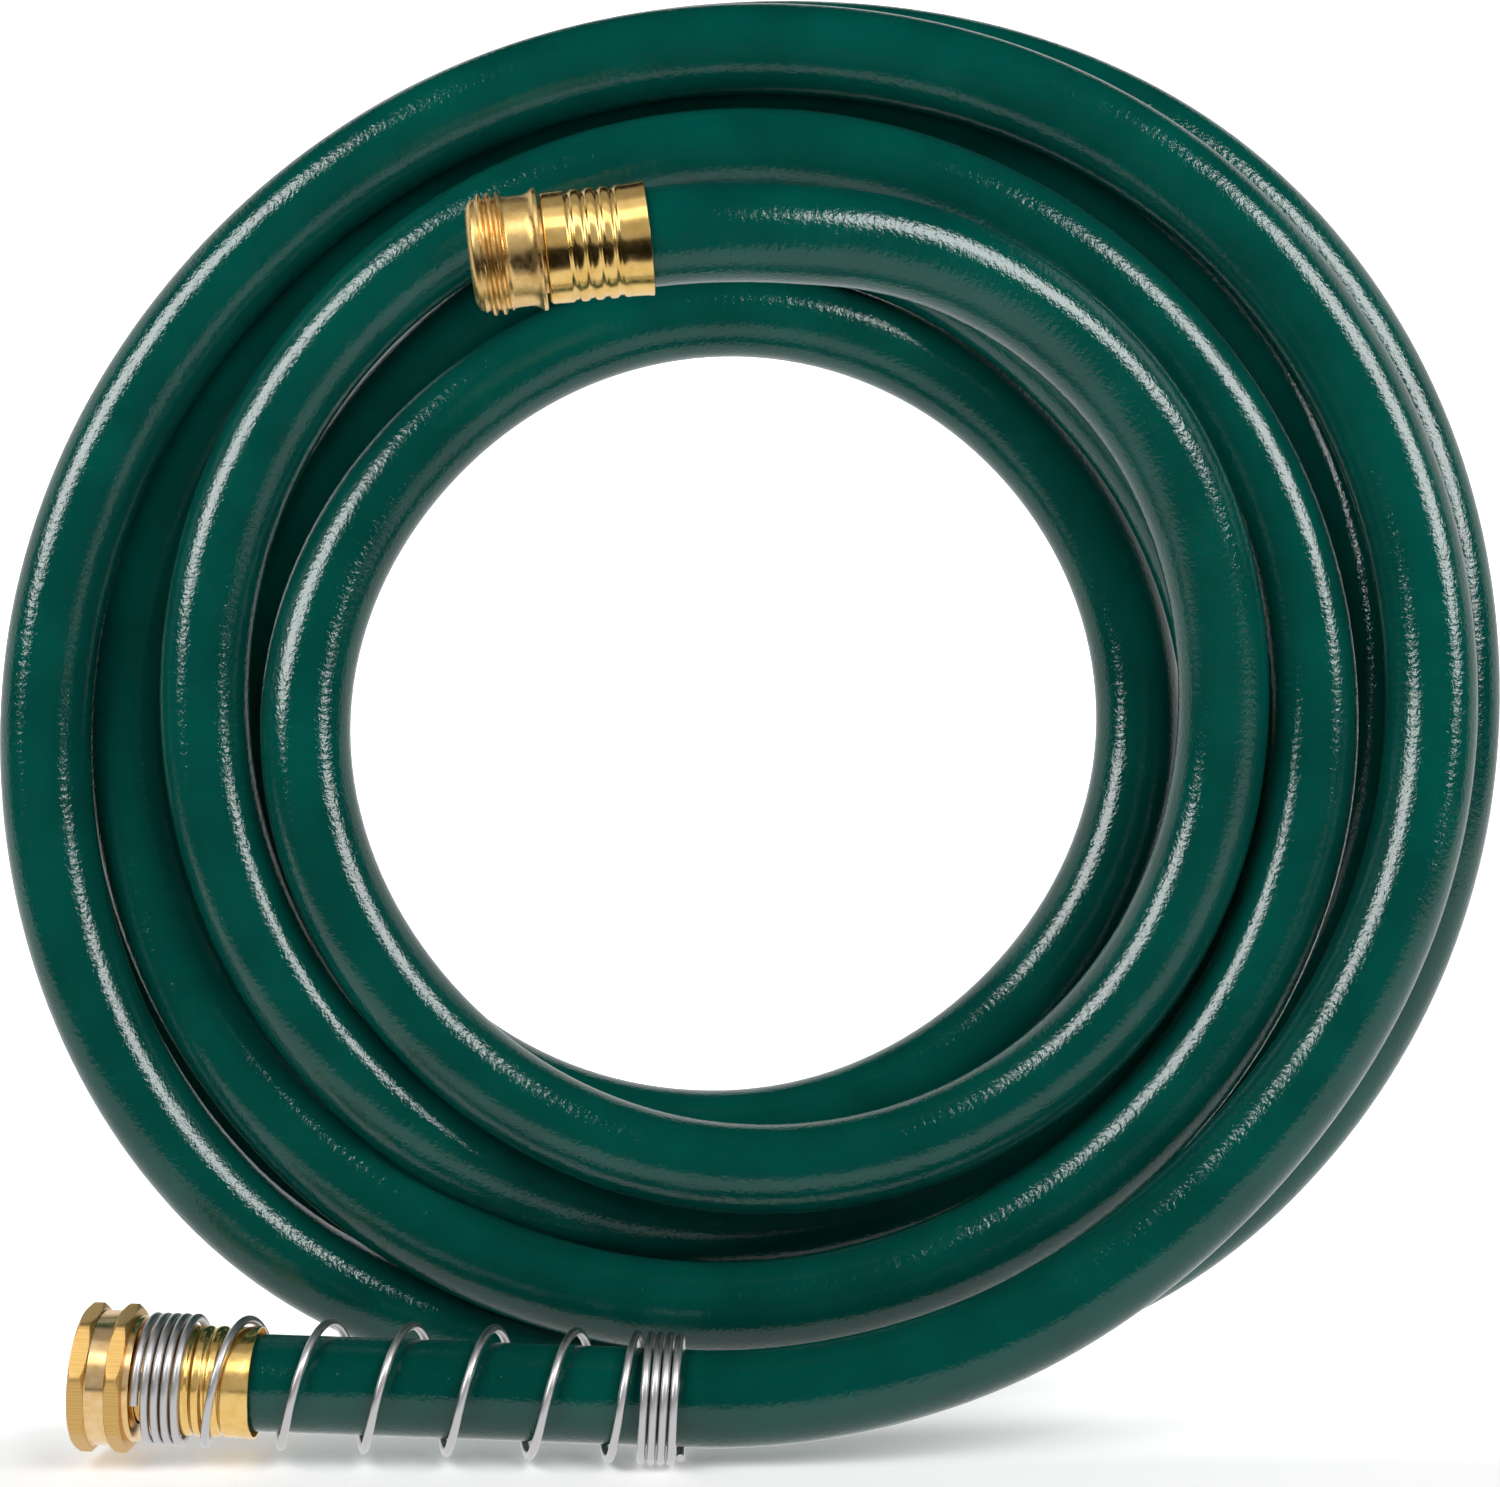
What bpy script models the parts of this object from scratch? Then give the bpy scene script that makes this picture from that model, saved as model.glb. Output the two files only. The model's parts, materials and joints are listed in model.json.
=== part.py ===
"""A garden hose coiled up and standing on its rim, with its brass couplings and its spring guard.

Metres, +Z up, the floor at Z = 0. The coil's axis runs along Y and its front faces -Y.
The tail with the swivel nut lies in front of the coil on the floor, and the end with the
male coupling stands off the coil's front near its top.
"""

import math

import bmesh
import bpy
from mathutils import Matrix, Vector

# Clearances between pieces
SEAT_GAP = 0.0003
RUNNING_GAP = 0.0004

# Hose
HOSE_OD = 0.0220
HOSE_RADIUS = HOSE_OD / 2
HOSE_POINT_SPACING = 1.5 * HOSE_OD
HOSE_BEVEL_STEPS = 4

# Coil: the outer shape of the turns, settled a little under their own weight
COIL_WIDTH = 0.378
COIL_FLATTENED = 0.019
COIL_HEIGHT = COIL_WIDTH - COIL_FLATTENED
COIL_HOLE = 0.188
COIL_DEPTH = 0.068
COIL_FRONT_Y = -0.022
FRONT_TURNS_INSET = 0.0095
TURNS_SPACING = 0.0250
COIL_SIDES = 64
TURN_ARC_STEP = math.radians(30)
TURN_VALLEY_ANGLE = math.radians(20)

# Centre that the hose's own turns go round, a little left of the coil's and settled below it
TURNS_LEFT = 0.001
TURNS_SETTLED = 0.0067

# Tail: the nut's open end, the tail's fall towards the coil, and where it joins the coil, as the
# angle, the way in from the rim's turns and the way back from the front turns
NUT_END = Vector((-0.1543, -0.043, 0.0202))
TAIL_FALL = math.radians(2.1)
TAIL_STRAIGHT = 0.146
TAIL_TURN = (
    (290, 0.0215, -0.029),
    (315, 0.0210, -0.019),
    (335, 0.0160, -0.011),
    (352, 0.0135, 0.002),
    (366, 0.0145, 0.014),
)

# Male end: its nose, the way it points, and where it leaves the coil. Places are the angle, the
# way out from the hole's turns and the way back from the front turns
NOSE_PLACE = (480.87, 0.01488, -0.053)
NOSE_DROP = math.radians(6.8)
NOSE_FORWARD = math.radians(3.5)
MALE_STRAIGHT = 0.047
MALE_TURN = (
    (356, 0.0150, 0.018),
    (370, 0.0140, 0.007),
    (388, 0.0130, -0.006),
    (408, 0.0140, -0.017),
    (427, 0.0112, -0.029),
    (443, 0.0062, -0.041),
)

# Male coupling
THREAD_PITCH = 0.00221
MALE_THREAD_RADIUS = 0.0135
MALE_THREAD_ROOT = 0.0123
MALE_THREAD_TURNS = 4
NOSE_ROUND = 0.0024
MALE_BORE_RADIUS = 0.0080
MALE_BODY_LENGTH = 0.0161
MALE_BODY_RADIUS = 0.0125
MALE_BEAD_RADIUS = 0.0137
MALE_BEAD_WIDTH = 0.0012
MALE_FLARE_LENGTH = 0.0018
NECK_RADIUS = 0.0098
NECK_WALL = 0.0018
BODY_TO_FERRULE = 0.0006
NUT_TO_FERRULE = 0.0033

# Ferrule, the same on both ends
FERRULE_LENGTH = 0.0234
FERRULE_RADIUS = 0.01245
FERRULE_FLARE_RADIUS = 0.01270
FERRULE_LIP = 0.0010
FERRULE_BAND = 0.0052
FERRULE_GROOVES = 4
FERRULE_GROOVE_PITCH = 0.0033
FERRULE_GROOVE_WIDTH = 0.0013
FERRULE_GROOVE_DEPTH = 0.0006

# Swivel nut
NUT_LENGTH = 0.0136
NUT_CORNERS = 8
NUT_CORNER_ANGLE = math.radians(32.5)
NUT_FLAT_RADIUS = 0.0157
NUT_CORNER_RADIUS = 0.0168
NUT_BAND_RADIUS = 0.0152
NUT_FRONT_COLLAR = 0.0038
NUT_BAND = 0.0045
NUT_BACK_COLLAR = 0.0036
NUT_SHOULDER_RADIUS = 0.0142
NUT_CHAMFER = 0.0006
NUT_MOUTH_RADIUS = 0.0139
NUT_MOUTH = 0.0008
NUT_THREAD_RADIUS = 0.0136
NUT_THREAD_MINOR = 0.0126
NUT_THREAD_TURNS = 2
NUT_LIP = 0.0034

# Washer and tailpiece flange, stacked in the bottom of the nut
WASHER_THICKNESS = 0.0027
WASHER_RADIUS = 0.01245
WASHER_BORE_RADIUS = 0.0080
FLANGE_THICKNESS = 0.0012

# Spring guard
WIRE_DIAMETER = 0.0020
SPRING_OUTER_RADIUS = 0.0151
SPRING_FIRST_TURN = 0.0149
CLOSED_PITCH = 0.00228
OPEN_PITCH = 0.0191
CLOSED_TURNS_AT_NUT = 3.92
OPEN_TURNS = 5.36
CLOSED_TURNS_AT_END = 3.9
PITCH_CHANGE_TURNS = 1.6
SPRING_START_ANGLE = math.radians(189.5)
SPRING_POINTS_PER_TURN = 16
SPRING_BEVEL_STEPS = 1

TURNED_SIDES = 32
SMOOTH_LIMIT = math.radians(32)
COINCIDENT = 1e-7
SIDE_OVERHANG = 0.01


def clear_scene():
    for obj in list(bpy.data.objects):
        bpy.data.objects.remove(obj)


def material(name, colour, roughness, metallic):
    made = bpy.data.materials.new(name)
    made.use_nodes = True
    shader = made.node_tree.nodes["Principled BSDF"]
    shader.inputs["Base Color"].default_value = (*colour, 1.0)
    shader.inputs["Roughness"].default_value = roughness
    shader.inputs["Metallic"].default_value = metallic
    made.diffuse_color = (*colour, 1.0)
    return made


def hose_vinyl():
    return material("hose_vinyl", (0.004, 0.062, 0.045), 0.28, 0.0)


def turned_brass():
    return material("turned_brass", (0.74, 0.50, 0.18), 0.22, 1.0)


def pressed_brass():
    return material("pressed_brass", (0.78, 0.52, 0.17), 0.16, 1.0)


def spring_steel():
    return material("spring_steel", (0.62, 0.62, 0.64), 0.24, 1.0)


def washer_rubber():
    return material("washer_rubber", (0.02, 0.02, 0.02), 0.6, 0.0)


def add_object(name, data, finish, parent=None):
    """A new object of this mesh or curve, in its material, on its parent's axis."""
    data.materials.append(finish)
    made = bpy.data.objects.new(name, data)
    bpy.context.collection.objects.link(made)
    made.parent = parent
    return made


def axis_empty(name, place, direction):
    """An empty at place whose local X points along direction, with local Z kept as upright as it can be."""
    x_axis = direction.normalized()
    y_axis = Vector((0, 0, 1)).cross(x_axis).normalized()
    z_axis = x_axis.cross(y_axis)
    made = bpy.data.objects.new(name, None)
    made.matrix_world = Matrix.Translation(place) @ Matrix((x_axis, y_axis, z_axis)).transposed().to_4x4()
    bpy.context.collection.objects.link(made)
    return made


def smooth_mesh(bm, name):
    """The mesh of bm with round faces shaded smooth and edges kept sharp."""
    bmesh.ops.recalc_face_normals(bm, faces=bm.faces)
    mesh = bpy.data.meshes.new(name)
    bm.to_mesh(mesh)
    bm.free()
    mesh.shade_smooth()
    mesh.set_sharp_from_angle(angle=SMOOTH_LIMIT)
    return mesh


def turned_bmesh(outline, sides):
    """A solid turned about local X from a closed outline of (along, radius) points."""
    bm = bmesh.new()
    corners = [bm.verts.new((along, 0.0, radius)) for along, radius in outline]
    edges = [bm.edges.new(pair) for pair in zip(corners, corners[1:] + corners[:1])]
    bmesh.ops.spin(
        bm,
        geom=corners + edges,
        cent=(0, 0, 0),
        axis=(1, 0, 0),
        angle=math.tau,
        steps=sides,
        use_merge=True,
    )
    bmesh.ops.remove_doubles(bm, verts=bm.verts, dist=COINCIDENT)
    return bm


def turned(name, outline, finish, parent, sides=TURNED_SIDES):
    return add_object(name, smooth_mesh(turned_bmesh(outline, sides), name), finish, parent)


def thread_outline(start, turns, crest_radius, root_radius):
    """The zigzag of a thread's ridges, from root to root."""
    points = [(start, root_radius)]
    for turn in range(turns):
        foot = start + turn * THREAD_PITCH
        points.append((foot + 0.40 * THREAD_PITCH, crest_radius))
        points.append((foot + 0.60 * THREAD_PITCH, crest_radius))
        points.append((foot + THREAD_PITCH, root_radius))
    return points


def smooth_route(points, spacing):
    """Points about this far apart on the smooth curve through the route's own points."""
    ends = [2 * points[0] - points[1]] + list(points) + [2 * points[-1] - points[-2]]
    route = []
    for before, here, there, after in zip(ends, ends[1:], ends[2:], ends[3:]):
        steps = max(1, round((there - here).length / spacing))
        for step in range(steps):
            t = step / steps
            route.append(
                0.5
                * (
                    2 * here
                    + (there - before) * t
                    + (2 * before - 5 * here + 4 * there - after) * t**2
                    + (3 * here - before - 3 * there + after) * t**3
                )
            )
    return route + [points[-1]]


def tube_curve(name, points, radius, bevel_steps):
    """A solid round tube along these points, with its ends closed."""
    curve = bpy.data.curves.new(name, "CURVE")
    curve.dimensions = "3D"
    curve.bevel_depth = radius
    curve.bevel_resolution = bevel_steps
    curve.use_fill_caps = True
    spline = curve.splines.new("POLY")
    spline.points.add(len(points) - 1)
    for point, place in zip(spline.points, points):
        point.co = (*place, 1.0)
    spline.use_smooth = True
    return curve


def around(angle, radius, depth):
    """A place at this angle, in degrees from +X towards +Z, and radius about the turns' centre line."""
    turn = math.radians(angle)
    centre = Vector((-TURNS_LEFT, 0, COIL_HEIGHT / 2 - TURNS_SETTLED))
    return centre + Vector((radius * math.cos(turn), depth, radius * math.sin(turn)))


def rim_turns_radius():
    return COIL_WIDTH / 2 - HOSE_RADIUS


def hole_turns_radius():
    return COIL_HOLE / 2 + HOSE_RADIUS


def front_turns_depth():
    return COIL_FRONT_Y + HOSE_RADIUS


def tail_direction():
    return Vector((math.cos(TAIL_FALL), 0, -math.sin(TAIL_FALL)))


def nose_direction():
    """From the male coupling's nose into the hose."""
    return Vector(
        (
            math.cos(NOSE_DROP) * math.cos(NOSE_FORWARD),
            math.sin(NOSE_FORWARD),
            math.sin(NOSE_DROP),
        )
    ).normalized()


def female_hose_face():
    """How far the hose's end lies from the nut's open end."""
    return ferrule_start_female() + FERRULE_LIP + SEAT_GAP


def ferrule_start_female():
    return NUT_LENGTH + NUT_TO_FERRULE


def ferrule_start_male():
    return MALE_BODY_LENGTH + BODY_TO_FERRULE


def male_hose_face():
    return ferrule_start_male() + FERRULE_LIP + SEAT_GAP


def tail_points():
    """The straight tail inside the spring guard, then the sweep up into the coil."""
    along = tail_direction()
    route = [NUT_END + along * female_hose_face(), NUT_END + along * TAIL_STRAIGHT]
    for angle, inward, back in TAIL_TURN:
        route.append(around(angle, rim_turns_radius() - inward, front_turns_depth() + back))
    return smooth_route(route, HOSE_POINT_SPACING)


def nose_end():
    """The male coupling's open end, which keeps its place in front of the coil."""
    angle, outward, back = NOSE_PLACE
    return around(angle, hole_turns_radius() + outward, front_turns_depth() + back)


def male_points():
    """From inside the coil's front, forward and over the top to the male coupling."""
    along = nose_direction()
    route = []
    for angle, outward, back in MALE_TURN:
        route.append(around(angle, hole_turns_radius() + outward, front_turns_depth() + back))
    route += [nose_end() + along * MALE_STRAIGHT, nose_end() + along * male_hose_face()]
    return smooth_route(route, HOSE_POINT_SPACING)


def row_of_turns(start, end):
    """Evenly spaced places from start to end, as near to the turns' spacing as whole turns allow."""
    gaps = max(1, round((end - start).length / TURNS_SPACING))
    return [start.lerp(end, place / gaps) for place in range(gaps + 1)]


def turn_centres():
    """(depth, radius) of each turn that shows on the coil's outside, round its section from the front."""
    inner = hole_turns_radius()
    outer = rim_turns_radius()
    front = front_turns_depth()
    rear = COIL_FRONT_Y + COIL_DEPTH - HOSE_RADIUS
    middle = (front + rear) / 2
    front_outer = Vector((front, outer - FRONT_TURNS_INSET))
    front_inner = Vector((front, inner + FRONT_TURNS_INSET))
    front_row = row_of_turns(front_outer, front_inner)
    rear_row = row_of_turns(Vector((rear, inner)), Vector((rear, outer)))
    return front_row + [Vector((middle, inner))] + rear_row + [Vector((middle, outer))]


def scalloped_outline(centres, radius):
    """The outline round a loop of touching circles, with each valley between two of them bridged."""
    outline = []
    for index, centre in enumerate(centres):
        before = centres[index - 1] - centre
        after = centres[(index + 1) % len(centres)] - centre
        trims = [
            math.acos(min(1.0, side.length / (2 * radius))) + TURN_VALLEY_ANGLE for side in (before, after)
        ]
        first = math.atan2(before.y, before.x)
        sweep = (math.atan2(after.y, after.x) - first) % math.tau - sum(trims)
        steps = max(2, round(sweep / TURN_ARC_STEP))
        for step in range(steps + 1):
            turn = first + trims[0] + sweep * step / steps
            outline.append(centre + radius * Vector((math.cos(turn), math.sin(turn))))
    return outline


def groove_cutter(name, points):
    """A closed mesh of the hose along these points and a gap wider all round, to cut its bed."""
    start = points[0] + (points[0] - points[1]).normalized() * SEAT_GAP
    end = points[-1] + (points[-1] - points[-2]).normalized() * SEAT_GAP
    curve = tube_curve(name, [start] + points[1:-1] + [end], HOSE_RADIUS + SEAT_GAP, HOSE_BEVEL_STEPS)
    guide = bpy.data.objects.new(name + "_guide", curve)
    bpy.context.collection.objects.link(guide)
    bpy.context.view_layer.update()
    mesh = bpy.data.meshes.new_from_object(guide.evaluated_get(bpy.context.evaluated_depsgraph_get()))
    bpy.data.objects.remove(guide)
    bm = bmesh.new()
    bm.from_mesh(mesh)
    bmesh.ops.remove_doubles(bm, verts=bm.verts, dist=COINCIDENT)
    bmesh.ops.recalc_face_normals(bm, faces=bm.faces)
    bm.to_mesh(mesh)
    bm.free()
    cutter = bpy.data.objects.new(name, mesh)
    cutter.hide_render = True
    cutter.display_type = "WIRE"
    bpy.context.collection.objects.link(cutter)
    return cutter


def cut(obj, cutter):
    boolean = obj.modifiers.new("cut_" + cutter.name, "BOOLEAN")
    boolean.operation = "DIFFERENCE"
    boolean.object = cutter


def hose_coil(finish):
    """The coil as one turned solid with its bore, its turns showing on its front, rear and rim."""
    bm = turned_bmesh(scalloped_outline(turn_centres(), HOSE_RADIUS), COIL_SIDES)
    half_side = Matrix.Rotation(math.pi / COIL_SIDES, 4, "X")
    face_front = Matrix.Rotation(math.pi / 2, 4, "Z")
    settle = Matrix.Diagonal((1, 1, COIL_HEIGHT / COIL_WIDTH, 1))
    stand = Matrix.Translation((0, 0, COIL_HEIGHT / 2))
    bmesh.ops.transform(bm, matrix=stand @ settle @ face_front @ half_side, verts=bm.verts)
    coil = add_object("hose_coil", smooth_mesh(bm, "hose_coil"), finish)
    cut(coil, groove_cutter("tail_bed", tail_points()))
    cut(coil, groove_cutter("male_end_bed", male_points()))
    return coil


def hose_stretch(name, points, finish):
    return add_object(name, tube_curve(name, points, HOSE_RADIUS, HOSE_BEVEL_STEPS), finish)


def male_coupling(finish, axis):
    """The threaded male end with its round nose, bead and the neck that the ferrule holds."""
    thread_start = NOSE_ROUND
    thread_end = thread_start + MALE_THREAD_TURNS * THREAD_PITCH
    bead_start = MALE_BODY_LENGTH - MALE_BEAD_WIDTH
    outline = [
        (0, MALE_BORE_RADIUS),
        (0, MALE_THREAD_ROOT - NOSE_ROUND),
        (0.3 * NOSE_ROUND, MALE_THREAD_ROOT - 0.4 * NOSE_ROUND),
        (0.65 * NOSE_ROUND, MALE_THREAD_ROOT - 0.12 * NOSE_ROUND),
    ]
    outline += thread_outline(thread_start, MALE_THREAD_TURNS, MALE_THREAD_RADIUS, MALE_THREAD_ROOT)
    outline += [
        (thread_end + 0.5 * THREAD_PITCH, MALE_BODY_RADIUS),
        (bead_start - MALE_FLARE_LENGTH, MALE_BODY_RADIUS),
        (bead_start, MALE_BEAD_RADIUS),
        (MALE_BODY_LENGTH, MALE_BEAD_RADIUS),
        (MALE_BODY_LENGTH, NECK_RADIUS),
        (male_hose_face() - SEAT_GAP, NECK_RADIUS),
        (male_hose_face() - SEAT_GAP, MALE_BORE_RADIUS),
    ]
    return turned("male_coupling", outline, finish, axis)


def ferrule(name, start, finish, axis):
    """The crimped sleeve round the hose's end: a plain band, crimp grooves and a flared mouth."""
    bore = HOSE_RADIUS + SEAT_GAP
    outline = [
        (start, NECK_RADIUS + SEAT_GAP),
        (start, FERRULE_RADIUS),
        (start + FERRULE_BAND, FERRULE_RADIUS),
    ]
    slope = FERRULE_GROOVE_WIDTH / 4
    for groove in range(FERRULE_GROOVES):
        near = start + FERRULE_BAND + groove * FERRULE_GROOVE_PITCH
        far = near + FERRULE_GROOVE_WIDTH
        outline += [
            (near + slope, FERRULE_RADIUS - FERRULE_GROOVE_DEPTH),
            (far - slope, FERRULE_RADIUS - FERRULE_GROOVE_DEPTH),
            (far, FERRULE_RADIUS),
            (near + FERRULE_GROOVE_PITCH, FERRULE_RADIUS),
        ]
    outline += [
        (start + FERRULE_LENGTH, FERRULE_FLARE_RADIUS),
        (start + FERRULE_LENGTH, bore),
        (start + FERRULE_LIP, bore),
        (start + FERRULE_LIP, NECK_RADIUS + SEAT_GAP),
    ]
    return turned(name, outline, finish, axis)


def nut_outline():
    """The nut's section: collars and band outside, thread, washer recess and lip inside."""
    band_start = NUT_FRONT_COLLAR
    back_start = band_start + NUT_BAND
    back_end = back_start + NUT_BACK_COLLAR
    lip_start = NUT_LENGTH - NUT_LIP
    thread_end = NUT_MOUTH + NUT_THREAD_TURNS * THREAD_PITCH
    outside = [
        (0, NUT_CORNER_RADIUS - NUT_CHAMFER),
        (NUT_CHAMFER, NUT_CORNER_RADIUS),
        (band_start - NUT_CHAMFER, NUT_CORNER_RADIUS),
        (band_start, NUT_BAND_RADIUS),
        (back_start, NUT_BAND_RADIUS),
        (back_start + NUT_CHAMFER, NUT_CORNER_RADIUS),
        (back_end - NUT_CHAMFER, NUT_CORNER_RADIUS),
        (back_end, NUT_SHOULDER_RADIUS),
        (NUT_LENGTH - NUT_CHAMFER, NUT_SHOULDER_RADIUS),
        (NUT_LENGTH, NUT_SHOULDER_RADIUS - NUT_CHAMFER),
    ]
    inside = [(0, NUT_MOUTH_RADIUS)]
    inside += thread_outline(NUT_MOUTH, NUT_THREAD_TURNS, NUT_THREAD_MINOR, NUT_THREAD_RADIUS)
    inside += [
        (thread_end + SEAT_GAP, NUT_THREAD_RADIUS),
        (lip_start, NUT_THREAD_RADIUS),
        (lip_start, NECK_RADIUS + RUNNING_GAP),
        (NUT_LENGTH, NECK_RADIUS + RUNNING_GAP),
    ]
    return outside + inside[::-1]


def octagon_shaft():
    """A prism through the nut whose sides are the flats of its collars."""
    bm = bmesh.new()
    bmesh.ops.create_cone(
        bm,
        cap_ends=True,
        segments=NUT_CORNERS,
        radius1=NUT_FLAT_RADIUS / math.cos(math.pi / NUT_CORNERS),
        radius2=NUT_FLAT_RADIUS / math.cos(math.pi / NUT_CORNERS),
        depth=NUT_LENGTH + 2 * SIDE_OVERHANG,
    )
    lie = Matrix.Translation((NUT_LENGTH / 2, 0, 0)) @ Matrix.Rotation(math.pi / 2, 4, "Y")
    turn = Matrix.Rotation(NUT_CORNER_ANGLE, 4, "X")
    bmesh.ops.transform(bm, matrix=turn @ lie, verts=bm.verts)
    return bm


def swivel_nut(finish, axis):
    """The nut that screws onto a tap: two collars of eight flats with a round band between them."""
    nut = turned("swivel_nut", nut_outline(), finish, axis)
    shaft_mesh = bpy.data.meshes.new("nut_flats")
    bm = octagon_shaft()
    bmesh.ops.recalc_face_normals(bm, faces=bm.faces)
    bm.to_mesh(shaft_mesh)
    bm.free()
    shaft = bpy.data.objects.new("nut_flats", shaft_mesh)
    shaft.parent = axis
    shaft.hide_render = True
    shaft.display_type = "WIRE"
    bpy.context.collection.objects.link(shaft)
    flats = nut.modifiers.new("flats", "BOOLEAN")
    flats.operation = "INTERSECT"
    flats.object = shaft
    return nut


def flange_start():
    return NUT_LENGTH - NUT_LIP - SEAT_GAP - FLANGE_THICKNESS


def hose_washer(finish, axis):
    """The rubber washer that the tap's end presses on, held behind the nut's thread."""
    far = flange_start() - SEAT_GAP
    near = far - WASHER_THICKNESS
    outline = [
        (near, WASHER_BORE_RADIUS),
        (near, WASHER_RADIUS),
        (far, WASHER_RADIUS),
        (far, WASHER_BORE_RADIUS),
    ]
    return turned("hose_washer", outline, finish, axis)


def female_tailpiece(finish, axis):
    """The flanged tube that holds the nut on and that the ferrule clamps in the hose's end."""
    near = flange_start()
    bore = NECK_RADIUS - NECK_WALL
    outline = [
        (near, bore),
        (near, NUT_THREAD_RADIUS - RUNNING_GAP),
        (near + FLANGE_THICKNESS, NUT_THREAD_RADIUS - RUNNING_GAP),
        (near + FLANGE_THICKNESS, NECK_RADIUS),
        (female_hose_face() - SEAT_GAP, NECK_RADIUS),
        (female_hose_face() - SEAT_GAP, bore),
    ]
    return turned("female_tailpiece", outline, finish, axis)


def spring_pitch(turn):
    """How far the wire moves along the hose per turn: close at both ends and open between them."""
    opening = (turn - CLOSED_TURNS_AT_NUT) / PITCH_CHANGE_TURNS
    closing = (CLOSED_TURNS_AT_NUT + OPEN_TURNS + PITCH_CHANGE_TURNS - turn) / PITCH_CHANGE_TURNS
    share = max(0.0, min(1.0, opening, closing))
    return CLOSED_PITCH + (OPEN_PITCH - CLOSED_PITCH) * share * share * (3 - 2 * share)


def spring_guard(finish, axis):
    """The steel wire wound left-handed over the ferrule and the tail, which keeps the hose from kinking."""
    turns = CLOSED_TURNS_AT_NUT + OPEN_TURNS + PITCH_CHANGE_TURNS + CLOSED_TURNS_AT_END
    radius = SPRING_OUTER_RADIUS - WIRE_DIAMETER / 2
    count = round(turns * SPRING_POINTS_PER_TURN)
    along = SPRING_FIRST_TURN
    points = []
    for step in range(count + 1):
        turn = step / SPRING_POINTS_PER_TURN
        angle = SPRING_START_ANGLE - math.tau * turn
        points.append(Vector((along, radius * math.cos(angle), radius * math.sin(angle))))
        along += spring_pitch(turn + 0.5 / SPRING_POINTS_PER_TURN) / SPRING_POINTS_PER_TURN
    wire = tube_curve("spring_guard", points, WIRE_DIAMETER / 2, SPRING_BEVEL_STEPS)
    return add_object("spring_guard", wire, finish, axis)


def pieces():
    """Builds every piece and gives back the objects that stand in no other's axis."""
    vinyl = hose_vinyl()
    brass = turned_brass()
    sleeve_brass = pressed_brass()
    female_axis = axis_empty("female_axis", NUT_END, tail_direction())
    male_axis = axis_empty("male_axis", nose_end(), nose_direction())
    coil = hose_coil(vinyl)
    tail = hose_stretch("hose_tail", tail_points(), vinyl)
    male_end = hose_stretch("hose_male_end", male_points(), vinyl)
    male_coupling(brass, male_axis)
    ferrule("male_ferrule", ferrule_start_male(), sleeve_brass, male_axis)
    swivel_nut(brass, female_axis)
    hose_washer(washer_rubber(), female_axis)
    female_tailpiece(brass, female_axis)
    ferrule("female_ferrule", ferrule_start_female(), sleeve_brass, female_axis)
    spring_guard(spring_steel(), female_axis)
    return [coil, tail, male_end, female_axis, male_axis]


def centre_on_origin(tops):
    """Moves the whole hose so that the origin is under the middle of its bounding box, on the floor."""
    bpy.context.view_layer.update()
    graph = bpy.context.evaluated_depsgraph_get()
    corners = []
    for obj in bpy.context.collection.objects:
        if obj.type == "EMPTY" or obj.hide_render:
            continue
        shape = obj.evaluated_get(graph)
        mesh = shape.to_mesh()
        corners += [shape.matrix_world @ vertex.co for vertex in mesh.vertices]
        shape.to_mesh_clear()
    lows = [min(corner[axis] for corner in corners) for axis in range(3)]
    highs = [max(corner[axis] for corner in corners) for axis in range(3)]
    shift = Matrix.Translation((-(lows[0] + highs[0]) / 2, -(lows[1] + highs[1]) / 2, -lows[2]))
    cutters = [obj for obj in bpy.context.collection.objects if obj.hide_render and not obj.parent]
    for obj in tops + cutters:
        obj.matrix_world = shift @ obj.matrix_world
    bpy.context.view_layer.update()


clear_scene()
centre_on_origin(pieces())
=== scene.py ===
"""Looks for the coiled garden hose: its turns, its couplings, its spring guard and the studio."""

import json
import math

import bmesh
import bpy
from mathutils import Matrix, Vector


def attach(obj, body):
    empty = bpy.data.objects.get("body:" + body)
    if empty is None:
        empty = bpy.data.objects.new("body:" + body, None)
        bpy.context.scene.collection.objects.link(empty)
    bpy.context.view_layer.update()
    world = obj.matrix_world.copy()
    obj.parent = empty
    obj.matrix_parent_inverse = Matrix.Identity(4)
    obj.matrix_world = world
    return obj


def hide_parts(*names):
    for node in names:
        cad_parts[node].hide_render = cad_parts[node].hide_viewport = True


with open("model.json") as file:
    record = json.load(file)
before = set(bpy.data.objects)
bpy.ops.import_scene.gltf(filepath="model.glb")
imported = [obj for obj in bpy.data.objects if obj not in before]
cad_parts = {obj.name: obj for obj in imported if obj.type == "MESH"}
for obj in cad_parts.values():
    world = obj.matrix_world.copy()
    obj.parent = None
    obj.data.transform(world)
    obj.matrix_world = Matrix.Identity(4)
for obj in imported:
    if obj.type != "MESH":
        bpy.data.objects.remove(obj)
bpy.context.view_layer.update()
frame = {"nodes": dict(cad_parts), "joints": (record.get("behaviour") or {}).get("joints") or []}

# The route's own places are stated as they were read, and the CAD model is centred on its box
NUT_END_READ = Vector((-0.1543, -0.043, 0.0202))
NUT_SWIVEL = next(joint for joint in frame["joints"] if joint["name"] == "nut_swivel")
CENTRING = Vector(NUT_SWIVEL["pos_m"]) - NUT_END_READ

# Camera: level, straight at the coil's front
IMAGE_WIDTH = 1500
CAMERA_PLACE = Vector((0.0, -0.600, 0.167))
FOCAL_PIXELS = 2400
SENSOR_MM = 36.0
CAMERA_NEAR = 0.01

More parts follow.
